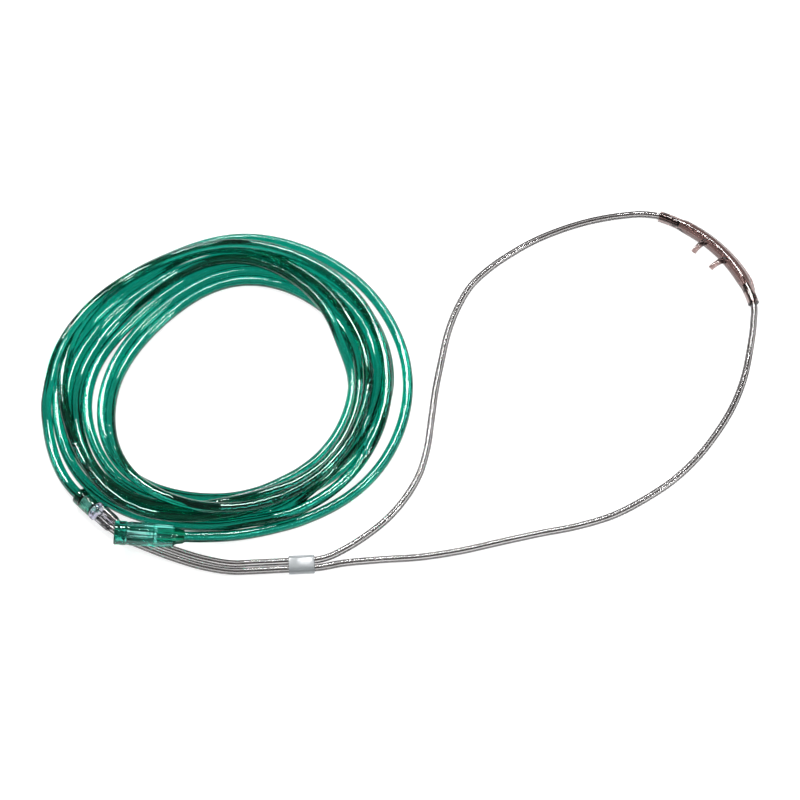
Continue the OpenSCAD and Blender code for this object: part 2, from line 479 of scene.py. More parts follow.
def turned(profile: Sequence[Pair], steps: int = SIDES) -> BMesh:
    """Spins a profile into a round piece along +X.

    Args:
        profile: Points of (x, radius) in millimetres, as a closed outline or one whose
            ends are on the axis.
        steps: Number of steps round the axis.

    Returns:
        The closed mesh, in metres.
    """
    bm = bmesh.new()
    verts = [bm.verts.new((x * MM, 0.0, r * MM)) for x, r in profile]
    edges = [bm.edges.new(pair) for pair in zip(verts, verts[1:])]
    if min(profile[0][1], profile[-1][1]) > 0.0:
        edges.append(bm.edges.new((verts[-1], verts[0])))
    bmesh.ops.spin(
        bm,
        geom=verts + edges,
        cent=(0, 0, 0),
        axis=(1, 0, 0),
        angle=math.tau,
        steps=steps,
        use_merge=True,
        use_duplicate=False,
    )
    return closed_up(bm)


def rounded(
    points: Sequence[Pair], corner: float, steps: int = 3
) -> list[Pair]:
    """Rounds the corners of an outline.

    Args:
        points: The outline's corners, in order.
        corner: How far each rounding reaches back from its corner, at most.
        steps: Number of straight pieces in each rounding.

    Returns:
        The outline with its first and last points as they were.
    """
    out = [points[0]]
    for a, b, c in zip(points, points[1:], points[2:]):
        a, b, c = Vector(a), Vector(b), Vector(c)
        reach_in = min(corner, 0.45 * (a - b).length)
        reach_out = min(corner, 0.45 * (c - b).length)
        start = b + (a - b).normalized() * reach_in
        end = b + (c - b).normalized() * reach_out
        for k in range(steps + 1):
            t = k / steps
            out.append(tuple((1 - t) ** 2 * start + 2 * t * (1 - t) * b + t * t * end))
    return out + [points[-1]]


def piece(
    name: str,
    bm: BMesh,
    finish: ClearPlastic,
    body: Body,
    nodes: Sequence[str],
    crease: float | None = None,
) -> bpy.types.Object:
    """Turns a mesh into a shown piece that rides on a body, in place of CAD nodes.

    Args:
        name: The piece's name.
        bm: Its mesh, in place and in metres. It is freed.
        finish: What it is made of.
        body: The body that it moves with.
        nodes: The CAD nodes that it stands for.
        crease: Edges sharper than this many degrees break the shading.

    Returns:
        The object, at the origin.
    """
    mesh = mesh_from(name, bm)
    mesh.materials.append(finish.material())
    mesh.shade_smooth()
    obj = placed(name, mesh)
    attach(obj, body.value)
    log.info("%s: %d faces on %s", name, len(mesh.polygons), body.value)
    if crease is not None:
        crease_by_angle(obj, crease)
    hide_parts(*nodes)
    return obj


def crease_by_angle(obj: bpy.types.Object, degrees: float) -> None:
    """Marks the edges sharper than an angle, so that shading breaks there."""
    bm = bmesh.new()
    bm.from_mesh(obj.data)
    for edge in bm.edges:
        if len(edge.link_faces) == 2 and edge.calc_face_angle(0.0) > math.radians(degrees):
            edge.smooth = False
    bm.to_mesh(obj.data)
    bm.free()


@dataclass(frozen=True)
class Axis:
    """A straight axis through a piece, in millimetres and degrees."""

    origin: Triple
    yaw: float
    pitch: float = 0.0

    def matrix(self) -> Matrix:
        """Placement of a mesh that was made along +X, in metres."""
        return Matrix.Translation(Vector(self.origin) * MM) @ spin(self.yaw, "Z") @ spin(self.pitch, "Y")

    def point(self, along: float, aside: float = 0.0) -> np.ndarray:
        """A point by its distances along and to the left of the axis, in millimetres."""
        return np.array(self.matrix() @ (Vector((along, aside, 0.0)) * MM)) / MM


WYE_AXIS = Axis((-179.2, -79.8, 5.1), -43.0)
SLIDE_AXIS = Axis((-69.2, -110.7, 3.0), 3.0)
CONNECTOR_AXIS = Axis((-166.4, -98.0, 15.0), 0.6, 9.4)


# ------------------------------------------------------------------------------ routes


def smooth_line(points: np.ndarray, step: float) -> np.ndarray:
    """A smooth curve through points, with new points a fixed distance apart.

    Args:
        points: The points that the curve goes through.
        step: Distance between the new points.

    Returns:
        The new points, the first and last where they were.
    """
    gaps = np.linalg.norm(np.diff(points, axis=0), axis=1)
    slopes = np.diff(points, axis=0) / gaps[:, None]
    before, after = gaps[:-1, None], gaps[1:, None]
    inner = (slopes[:-1] * after + slopes[1:] * before) / (before + after)
    slope = np.concatenate([slopes[:1], inner, slopes[-1:]])
    parts = []
    for i, gap in enumerate(gaps):
        t = (np.arange(max(4, int(gap))) / max(4, int(gap)))[:, None]
        parts.append(
            (2 * t**3 - 3 * t**2 + 1) * points[i]
            + (t**3 - 2 * t**2 + t) * gap * slope[i]
            + (3 * t**2 - 2 * t**3) * points[i + 1]
            + (t**3 - t**2) * gap * slope[i + 1]
        )
    return evenly(np.concatenate([*parts, points[-1:]]), step)


def evenly(line: np.ndarray, step: float) -> np.ndarray:
    """The line again with its points a fixed distance apart."""
    run = np.concatenate([[0.0], np.cumsum(np.linalg.norm(np.diff(line, axis=0), axis=1))])
    at = np.linspace(0.0, run[-1], int(round(run[-1] / step)) + 1)
    return np.stack([np.interp(at, run, line[:, k]) for k in range(3)], axis=1)


def beside(route: np.ndarray, distance: float) -> np.ndarray:
    """The route moved level to its left by a fixed distance."""
    ahead = np.roll(route, -1, axis=0)
    ahead[-1] = route[-1]
    behind = np.roll(route, 1, axis=0)
    behind[0] = route[0]
    way = ahead - behind
    left = np.stack([-way[:, 1], way[:, 0], np.zeros(len(way))], axis=1)
    return route + distance * left / np.linalg.norm(left, axis=1)[:, None]


@dataclass
class CoilWinding:
    """The supply tube's route: into the coil from the cuff, round it, and out again.

    Each row of turns gives the distance of one turn from the coil's centre at eight
    places, clockwise from the left. The turns start well apart, one above the other, and
    then sink onto the table and each other. A point that lies higher than lean_from is
    held further forward, by lean for each millimetre, and the last passing_end points
    don't meet the obstacles.
    """

    centre: Pair = (-112.0, -2.0)
    turns: tuple[tuple[float, ...], ...] = (
        (96.3, 91.7, 92.3, 90.3, 87.2, 88.0, 85.5, 94.0),
        (93.5, 88.2, 90.0, 79.8, 75.5, 76.7, 76.0, 74.2),
        (64.0, 56.5, 71.0, 74.0, 72.5, 73.5, 75.0, 89.0),
        (84.0, 75.0, 83.5, 72.5, 70.5, 70.5, 71.5, 78.0),
        (66.5, 63.5, 74.0, 77.0, 73.5, 73.5, 78.0, 81.0),
        (79.0, 68.7, 79.0, 83.0, 86.0, 78.0, 81.0, 91.0),
        (88.5, 79.5, 87.0, 86.0, 85.0, 82.0, 80.0, 87.5),
        (91.8, 89.3, 98.0, 97.5, 98.6),
    )
    heights: dict[tuple[int, int], float] = field(
        default_factory=lambda: {
            (0, 0): 12.0, (2, 3): 23.0, (2, 4): 23.0, (6, 7): 62.0, (7, 0): 59.0, (7, 4): 3.0
        }
    )
    storey: float = 6.6
    lead_in: tuple[Triple, ...] = (
        (-200.5, -55.0, 4.0), (-206.0, -40.0, 3.2), (-209.0, -23.5, 3.0),
    )
    lead_out: tuple[Triple, ...] = (
        (-41.0, -68.5, 3.0), (-54.5, -78.0, 3.0), (-69.5, -85.0, 3.0), (-85.0, -90.0, 3.2),
        (-100.5, -94.0, 4.3), (-116.0, -96.5, 6.6),
    )
    lying: float = 3.0
    spacing: float = 6.1
    step: float = 4.0
    rounds: int = 700
    sinking: float = 0.93
    sink_first: float = 0.28
    sink_last: float = 0.08
    hold: float = 0.07
    stiffness: float = 8.0
    lean: float = 0.577
    lean_from: float = 4.0
    corrections: int = 4
    push: float = 1.3
    search_every: int = 8
    search_room: float = 4.0
    strand_apart: float = 2.5
    held_start: int = 4
    held_end: int = 14
    passing_end: int = 30
    connector_room: float = 6.4

    def stations(self) -> np.ndarray:
        """The points that the route starts from, with the turns still apart."""
        points = [WYE_AXIS.point(-Cuff.bore_depth), WYE_AXIS.point(-16.5), *self.lead_in]
        for k, turn in enumerate(self.turns):
            for i, r in enumerate(turn):
                angle = math.radians(180.0 - 45.0 * i)
                above = max(len(self.turns) - 1 - k - i / 8, 0)
                height = self.heights.get((k, i), self.lying + self.storey * above)
                x = self.centre[0] + r * math.cos(angle)
                y = self.centre[1] + r * math.sin(angle)
                points.append((x, y, height))
        ends = (EndConnector.length, EndConnector.length - EndConnector.tube_depth)
        return np.array([*points, *self.lead_out, *map(CONNECTOR_AXIS.point, ends)])

    def obstacles(self) -> tuple[np.ndarray, np.ndarray]:
        """What the coil lies against, as balls: their centres and radii."""
        balls = [(CONNECTOR_AXIS.point(run), self.connector_room) for run in range(1, 37, 3)]
        balls += [(WYE_AXIS.point(run), Cuff.radius) for run in range(-11, 0, 2)]
        balls += [(WYE_AXIS.point(run), Wye.flange_r) for run in (1, 3)]
        lobes = (Wye.offset - Wye.half_spacing, Wye.offset + Wye.half_spacing)
        balls += [(WYE_AXIS.point(run, aside), Wye.lobe_r) for run in range(5, 14, 2) for aside in lobes]
        centres, radii = zip(*balls)
        return np.array(centres), np.array(radii)

    def stiffener(self, count: int, free: np.ndarray) -> np.ndarray:
        """The matrix that spreads a bend over its neighbours, as the tube's wall does."""
        second = np.zeros((count, count))
        inner = np.arange(1, count - 1)
        second[inner, inner - 1] = second[inner, inner + 1] = 1.0
        second[inner, inner] = -2.0
        return np.linalg.inv(np.eye(count) + self.stiffness * free[:, None] * (second.T @ second))

    def parted(self, line: np.ndarray, free: np.ndarray, pairs: tuple, blocks: tuple) -> np.ndarray:
        """Moves strands that lie in each other, or in an obstacle, apart.

        Args:
            line: The route's points.
            free: 1 for each point that may move, and 0 for the held ones.
            pairs: Indices of the points that may meet.
            blocks: Indices of points near an obstacle, its centre and its radius.

        Returns:
            The points after one correction.
        """
        move, count = np.zeros_like(line), np.zeros(len(line))
        gap = line[pairs[0]] - line[pairs[1]]
        far = np.linalg.norm(gap, axis=1)
        hit = far < self.spacing
        i, j, gap, far = pairs[0][hit], pairs[1][hit], gap[hit], far[hit]
        share = (self.spacing - far) / np.maximum(far, 1e-6) / np.maximum(free[i] + free[j], 1e-9)
        np.add.at(move, i, (share * free[i])[:, None] * gap)
        np.add.at(move, j, -(share * free[j])[:, None] * gap)
        np.add.at(count, i, 1)
        np.add.at(count, j, 1)
        gap = line[blocks[0]] - blocks[1]
        far = np.linalg.norm(gap, axis=1)
        room = blocks[2] + self.spacing / 2
        hit = far < room
        k = blocks[0][hit]
        np.add.at(move, k, ((room - far)[hit] / far[hit] * free[k])[:, None] * gap[hit])
        np.add.at(count, k, 1)
        return line + self.push * move / np.maximum(count, 1)[:, None]

    def settled(self) -> np.ndarray:
        """Lets the turns sink until they lie on the table and each other.

        Returns:
            The route's points in millimetres, a step apart.
        """
        line = smooth_line(self.stations(), self.step)
        home, count, order = line.copy(), len(line), np.arange(len(line))
        free = np.ones(count)
        free[: self.held_start] = free[-self.held_end :] = 0.0
        stiffener = self.stiffener(count, free)
        apart = math.ceil(self.strand_apart * self.spacing / self.step)
        balls, radii = self.obstacles()
        for turn in range(self.rounds):
            if turn % self.search_every == 0:
                reach = self.spacing + self.search_room
                far = np.linalg.norm(line[:, None] - line[None], axis=2)
                pairs = np.nonzero((far < reach) & (order[None] - order[:, None] > apart))
                far = np.linalg.norm(line[:, None] - balls[None], axis=2)
                meets = (free > 0) & (order < count - self.passing_end)
                near, ball = np.nonzero((far < radii + reach - self.spacing / 2) & meets[:, None])
                blocks = (near, balls[ball], radii[ball])
            done = turn / self.rounds
            if done < self.sinking:
                line[:, 2] -= (self.sink_first * (1 - done) ** 2 + self.sink_last) * free
            line[:, 0] += self.hold * (home[:, 0] - line[:, 0]) * free
            target = home[:, 1] - self.lean * (line[:, 2] - self.lean_from)
            line[:, 1] += self.hold * (target - line[:, 1]) * free
            line = stiffener @ line
            for _ in range(self.corrections):
                line = self.parted(line, free, pairs, blocks)
                line[:, 2] = np.where(free > 0, np.maximum(line[:, 2], self.lying), line[:, 2])
            line = np.round(line, 4)
        return line


# ------------------------------------------------------------------------------- tubes


@dataclass
class Hose:
    """An extruded tube that follows a line. Its bore is a star with round lobes."""

    name: str
    line: np.ndarray
    radius: float
    bore: float
    sides: int = 24
    lobes: int = 5
    lobe_depth: float = 0.16

    def section(self, bm: BMesh) -> Edges:
        """Makes the tube's section, its outside and its bore, about the origin."""
        outside = bmesh.ops.create_circle(bm, segments=self.sides, radius=self.radius * MM)["verts"]
        bore = bmesh.ops.create_circle(bm, segments=self.sides, radius=self.bore * MM)["verts"]
        for vert in bore:
            angle = math.atan2(vert.co.y, vert.co.x)
            vert.co *= 1.0 - self.lobe_depth * math.cos(self.lobes * angle)
        layer = bm.verts.layers.float_vector[STRAIGHT]
        for vert in outside + bore:
            vert[layer] = Vector((0.0, vert.co.x, vert.co.y))
        return list(bm.edges)

    def stands(self) -> list[Matrix]:
        """The placement of the section at each point of the line, in metres."""
        ahead = np.gradient(self.line, axis=0)
        out = []
        for place, way in zip(self.line, ahead):
            along = Vector(way).normalized()
            left = Vector((0, 0, 1)).cross(along).normalized()
            turn = Matrix((left, along.cross(left), along)).transposed().to_4x4()
            out.append(Matrix.Translation(Vector(place) * MM) @ turn)
        return out

    def mesh(self) -> BMesh:
        """Extrudes the section along the line and closes both ends."""
        bm = bmesh.new()
        layer = bm.verts.layers.float_vector.new(STRAIGHT)
        edges = self.section(bm)
        stands = self.stands()
        bmesh.ops.transform(bm, matrix=stands[0], verts=bm.verts)
        first, run = edges, 0.0
        for before, after in zip(stands, stands[1:]):
            verts, edges = extruded(bm, edges)
            bmesh.ops.transform(bm, matrix=after @ before.inverted(), verts=verts)
            run += (after.translation - before.translation).length
            for vert in verts:
                vert[layer] = Vector((run, *vert[layer][1:]))
        bmesh.ops.bridge_loops(bm, edges=first)
        bmesh.ops.bridge_loops(bm, edges=edges)
        bmesh.ops.recalc_face_normals(bm, faces=bm.faces)
        return bm

    def length(self) -> float:
        """Length of the line in metres."""
        return float(np.linalg.norm(np.diff(self.line, axis=0), axis=1).sum()) * MM


@dataclass
class SupplyTube:
    """The long green tube between the cuff and the end connector."""

    diameter: float = 6.0
    radius: float = 2.94
    bore: float = 1.9
    length: float = 4.27
    hose: Hose | None = None

    def build(self) -> bpy.types.Object:
        """Winds the coil and sweeps the tube along it."""
        self.hose = Hose("supply_tube", CoilWinding().settled(), self.radius, self.bore)
        log.info("supply tube: %.3f m", self.hose.length())
        nodes = ("supply_lead_in", "supply_coil", "supply_lead_out")
        return piece(self.hose.name, self.hose.mesh(), GREEN_VINYL, Body.SUPPLY, nodes)

    def declare(self) -> None:
        """Works out the cord's path in metres, once the pieces on it are made; nothing is done with it."""
        path = self.hose.line * MM


@dataclass
class Lariats:
    """The two thin clear tubes from the wye, through the slide, to the nose piece."""

    diameter: float = 4.1
    radius: float = 2.0
    bore: float = 1.15
    sides: int = 20
    step: float = 2.5
    half_spacing: float = 2.2
    lengths: Pair = (0.455, 0.455)
    seat_angles: Pair = (29.0, 20.0)
    seat_runs: Pair = (5.0, 13.5)
    bend: tuple[Triple, ...] = (
        (-160.5, -94.5, 4.3), (-147.5, -100.0, 3.0), (-134.0, -105.0, 2.2), (-120.0, -109.5, 2.4),
    )
    straight: tuple[float, ...] = (-32.0, -30.0, -16.0, 5.0, 7.0)
    left: tuple[Triple, ...] = (
        (-55, -106, 2.6), (-47, -101.5, 2.2), (-35, -93, 2.1), (-24.5, -83.5, 2.1),
        (-15.5, -72, 2.1), (-8, -58, 2.1), (-3.5, -42, 2.1), (-1, -24, 2.1), (1.5, -5, 2.1),
        (5, 14, 2.1), (9, 33, 2.1), (15, 50, 2.1), (22.5, 64, 2.1), (33, 75.5, 2.1),
        (46, 86, 2.1), (60.5, 95.5, 2.1), (76, 103, 2.1), (93, 109, 2.1), (110, 112.5, 2.3),
        (124.5, 113, 3.2),
    )
    right: tuple[Triple, ...] = (
        (-47, -109.5, 2.4), (-28, -107.5, 2.1), (-7.5, -106, 2.1), (13.5, -102.5, 2.1),
        (34, -97.5, 2.1), (55, -92.5, 2.1), (76, -88, 2.1), (95.5, -81.5, 2.1),
        (112.5, -72, 2.1), (128, -61, 2.1), (141.5, -48, 2.1), (154, -32, 2.1),
        (164.5, -15, 2.1), (172, 2.5, 2.1), (177, 20.5, 2.3), (180.5, 37.5, 3.2),
    )

    def routes(self) -> tuple[np.ndarray, np.ndarray]:
        """The left and right lariats' lines, in millimetres."""
        pair = np.array(
            [
                *(WYE_AXIS.point(run, Wye.offset) for run in self.seat_runs),
                *self.bend,
                *(SLIDE_AXIS.point(a) for a in self.straight),
            ]
        )
        out = []
        for side, free in ((1, self.left), (-1, self.right)):
            ends = [NOSE.point(side * angle) for angle in self.seat_angles]
            out.append(np.concatenate([beside(pair, side * self.half_spacing), np.array(free), ends]))
        return out[0], out[1]

    def build(self) -> None:
        """Makes both tubes and logs their lengths."""
        for name, route, length in zip(("left", "right"), self.routes(), self.lengths):
            line = smooth_line(route, self.step)
            hose = Hose(f"lariat_tube_{name}", line, self.radius, self.bore, self.sides)
            nodes = (f"lariat_{name}",)
            obj = piece(hose.name, hose.mesh(), CLEAR_VINYL, Body.CANNULA, nodes)
            path = hose.line * MM
            log.info("%s: %.3f m", hose.name, hose.length())


# ---------------------------------------------------------------------------- mouldings


@dataclass
class EndConnector:
    """The soft socket that is pushed onto the outlet, and holds the supply tube's end."""

    length: float = 36.3
    lip_r: float = 6.35
    lip_length: float = 6.5
    tail_r: float = 5.8
    body_end: float = 30.5
    collar_r: float = 4.3
    tip_r: float = 3.5
    socket_r: float = 3.1
    socket_depth: float = 20.0
    stop_r: float = 2.0
    tube_r: float = 3.0
    tube_depth: float = 14.2
    corner: float = 0.6
    ease: float = 0.5
    ribs: int = 12
    rib_span: Pair = (8.0, 29.0)
    rib_floor: float = 5.0
    rib_inset: float = 0.12
    rib_rise: float = 0.22

    def build(self) -> bpy.types.Object:
        """Turns the moulding, raises its ribs and puts it in place."""
        outer = rounded(
            [
                (0.0, 4.6), (0.0, self.lip_r), *groove(2.6, self.lip_r, 0.3, 0.4),
                (self.lip_length - 0.4, self.lip_r), (self.lip_length, self.lip_r - 0.45),
                (self.lip_length + 1.0, self.lip_r - 0.3), (self.body_end, self.tail_r),
                (self.body_end + 1.3, self.collar_r), (self.length, self.tip_r), (self.length, self.tube_r),
            ],
            self.corner,
        )
        start = self.length - self.tube_depth
        inner = [
            (start, self.tube_r), (start, self.stop_r), (self.socket_depth + self.ease, self.stop_r),
            (self.socket_depth, self.socket_r), (self.ease, self.socket_r), (0.0, self.socket_r + self.ease),
        ]
        bm = turned(outer + inner)
        raised = [face for face in bm.faces if self.is_rib(face)]
        bmesh.ops.inset_region(bm, faces=raised, thickness=self.rib_inset * MM, depth=self.rib_rise * MM)
        closed_up(bm)
        layer = bm.verts.layers.float_vector.new(STRAIGHT)
        for vert in bm.verts:
            vert[layer] = vert.co
        bm.transform(CONNECTOR_AXIS.matrix())
        return piece(
            "connector_moulding", bm, CONNECTOR_VINYL, Body.SUPPLY, ("end_connector",)
        )

    def is_rib(self, face: bmesh.types.BMFace) -> bool:
        """Whether a face is one of those on the outside that are raised to ribs."""
        centre = face.calc_center_median()
        low, high = self.rib_span
        turn = (math.atan2(centre.z, centre.y) / math.tau) % 1.0
        return (
            low * MM < centre.x < high * MM
            and face.normal.dot(Vector((0, *centre.yz))) > 0
            and centre.yz.length > self.rib_floor * MM
            and round(turn * SIDES - 0.5) % (SIDES // self.ribs) == 0
        )


@dataclass
class Cuff:
    """The sleeve on the near end of the supply tube, pushed onto the wye's spigot."""

    length: float = 12.5
    radius: float = 4.9
    bore_r: float = 2.65
    bore_depth: float = 8.0
    tube_r: float = 3.0
    grooves: Pair = (-3.6, -9.0)
    corner: float = 0.6
    ease: float = 0.3

    def build(self) -> bpy.types.Object:
        """Turns the sleeve and puts it in place."""
        grooves = [point for at in self.grooves for point in groove(at, self.radius, 0.25, -0.4)]
        outer = rounded(
            [
                (0.0, 3.6), (0.0, self.radius), *grooves,
                (-self.length, self.radius - 0.1), (-self.length, 3.2),
            ],
            self.corner,
        )
        inner = [
            (-self.length, self.tube_r), (-self.bore_depth, self.tube_r), (-self.bore_depth, self.bore_r),
            (-self.ease, self.bore_r), (0.0, self.bore_r + self.ease),
        ]
        bm = turned(outer + inner)
        bm.transform(WYE_AXIS.matrix())
        return piece("cuff_sleeve", closed_up(bm), CUFF_VINYL, Body.SUPPLY, ("supply_cuff",))


def stadium(half_spacing: float, radius: float, sides: int) -> list[Pair]:
    """The outline round two equal circles side by side, in millimetres.

    Args:
        half_spacing: Distance of each circle's centre from the middle.
        radius: The circles' radius.
        sides: Number of steps round each half.

    Returns:
        The outline's points of (y, z), anticlockwise.
    """
    points = []
    for side in (1, -1):
        for k in range(sides + 1):
            angle = math.pi * (k / sides - 0.5) + (0 if side > 0 else math.pi)
            points.append((side * half_spacing + radius * math.cos(angle), radius * math.sin(angle)))
    return points


def bar_of(outline: Sequence[Pair], cuts: Sequence[Pair]) -> BMesh:
    """Extrudes an outline along +X, with its size changing at each cut.

    Args:
        outline: The section's points of (y, z) in millimetres.
        cuts: Pairs of x and how much larger the section is there, in millimetres.

    Returns:
        The closed bar, in metres.
    """
    bm = bmesh.new()
    verts = [bm.verts.new((0.0, y * MM, z * MM)) for y, z in outline]
    loop = [bm.edges.new(pair) for pair in zip(verts, verts[1:] + verts[:1])]
    first, edges = loop, loop
    rings = [verts]
    for _ in cuts[1:]:
        ring, edges = extruded(bm, edges)
        rings.append(ring)
    outs = [Vector((0.0, y, z)).normalized() for y, z in outline]
    for ring, (x, larger) in zip(rings, cuts):
        for vert in ring:
            here = Vector((0.0, *vert.co.yz))
            nearest = min(range(len(outline)), key=lambda k: (Vector((0, *outline[k])) * MM - here).length)
            vert.co += outs[nearest] * larger * MM
            vert.co.x = x * MM
    bmesh.ops.holes_fill(bm, edges=first)
    bmesh.ops.holes_fill(bm, edges=edges)
    return closed_up(bm)


def carved(whole: BMesh, others: Sequence[tuple[str, BMesh]]) -> BMesh:
    """Joins closed meshes to one, or cuts them out of it.

    Args:
        whole: The mesh to start from.
        others: Pairs of "UNION" or "DIFFERENCE" and a closed mesh, in order.

    Returns:
        The result.
    """
    work = placed("carving", mesh_from("carving", whole))
    tools = []
    for operation, tool in others:
        tools.append(placed("tool", mesh_from("tool", tool)))
        cut = work.modifiers.new("carve", "BOOLEAN")
        cut.operation, cut.solver, cut.object = operation, "EXACT", tools[-1]
    out = bmesh.new()
    out.from_object(work, bpy.context.evaluated_depsgraph_get())
    for obj in (work, *tools):
        used = obj.data
        bpy.data.objects.remove(obj)
        bpy.data.meshes.remove(used)
    bmesh.ops.remove_doubles(out, verts=out.verts, dist=1e-6)
    return out


@dataclass
class Wye:
    """The clear moulding that splits the supply between the two lariats.

    swells are places along its twin body, and how much larger than its lobes it is there.
    """

    flange_r: float = 5.1
    flange_gap: float = 0.15
    flange_end: float = 3.0
    body_end: float = 13.5
    offset: float = 0.5
    half_spacing: float = 2.2
    lobe_r: float = 2.65
    bore_r: float = 2.05
    seat: float = 5.0
    spigot: float = 7.5
    neck_r: float = 2.1
    barb_r: float = 2.6
    passage_r: float = 1.3
    corner: float = 0.7
    swells: tuple[Pair, ...] = ((1.5, -0.1), (3.0, 0.35), (4.2, 0.05), (12.5, 0.0), (13.5, -0.35))
    sides: int = 14

    def build(self) -> bpy.types.Object:
        """Joins flange, spigot and twin body, drills them and puts them in place."""
        pitch = self.spigot / 2
        profile = [
            (-self.spigot, 0.0), (-self.spigot, self.neck_r - 0.3), (-1.5 * pitch, self.barb_r),
            (-1.5 * pitch, self.neck_r), (-pitch, self.neck_r), (-0.5 * pitch, self.barb_r),
            (-0.5 * pitch, self.neck_r), (self.flange_gap, self.neck_r),
        ]
        disc = rounded(
            [
                (self.flange_gap, self.neck_r), (self.flange_gap, self.flange_r),
                (self.flange_end, self.flange_r), (self.flange_end, 3.4),
            ],
            self.corner,
        )
        inside = self.flange_end + 0.8
        whole = turned(profile + disc[1:] + [(inside, self.lobe_r - 0.05), (inside, 0.0)])
        body = bar_of(stadium(self.half_spacing, self.lobe_r, self.sides), self.swells)
        body.transform(Matrix.Translation((0, self.offset * MM, 0)))
        passage = self.drill(-self.spigot - 1, self.seat + 0.5, self.passage_r, 0.0)
        cuts = [("UNION", body), ("DIFFERENCE", passage)]
        for side in (-1, 1):
            aside = self.offset + side * self.half_spacing
            cuts.append(("DIFFERENCE", self.drill(self.seat, self.body_end + 1, self.bore_r, aside)))
        bm = carved(whole, cuts)
        bm.transform(WYE_AXIS.matrix())
        return piece("wye_moulding", bm, WYE_PLASTIC, Body.CANNULA, ("wye_connector",), 40.0)

    @staticmethod
    def drill(start: float, end: float, radius: float, aside: float) -> BMesh:
        """A round bar along the wye's axis, to cut with."""
        bm = turned([(start, 0.0), (start, radius), (end, radius), (end, 0.0)], 32)
        bm.transform(Matrix.Translation((0, aside * MM, 0)))
        return bm


@dataclass
class Slide:
    """The sleeve that is slid along both lariats to draw the loop closed."""

    length: float = 13.5
    half_spacing: float = 2.2
    outer_r: float = 3.0
    inner_r: float = 2.35
    sides: int = 16

    def build(self) -> bpy.types.Object:
        """Makes the oblong sleeve with eased ends and puts it in place."""
        half = self.length / 2
        ends = [(-half, -0.3), (-half + 0.12, -0.1), (-half + 0.4, 0.0)]
        outer = bar_of(
            stadium(self.half_spacing, self.outer_r, self.sides),
            ends + [(-x, larger) for x, larger in reversed(ends)],
        )
        inner = bar_of(
            stadium(self.half_spacing, self.inner_r, self.sides),
            [(-half - 0.2, 0.2), (-half + 0.3, 0.0), (half - 0.3, 0.0), (half + 0.2, 0.2)],
        )
        bm = carved(outer, [("DIFFERENCE", inner)])
        bm.transform(SLIDE_AXIS.matrix())
        return piece("slide_sleeve", bm, SLIDE_PLASTIC, Body.SLIDE, ("lariat_slide",), 40.0)


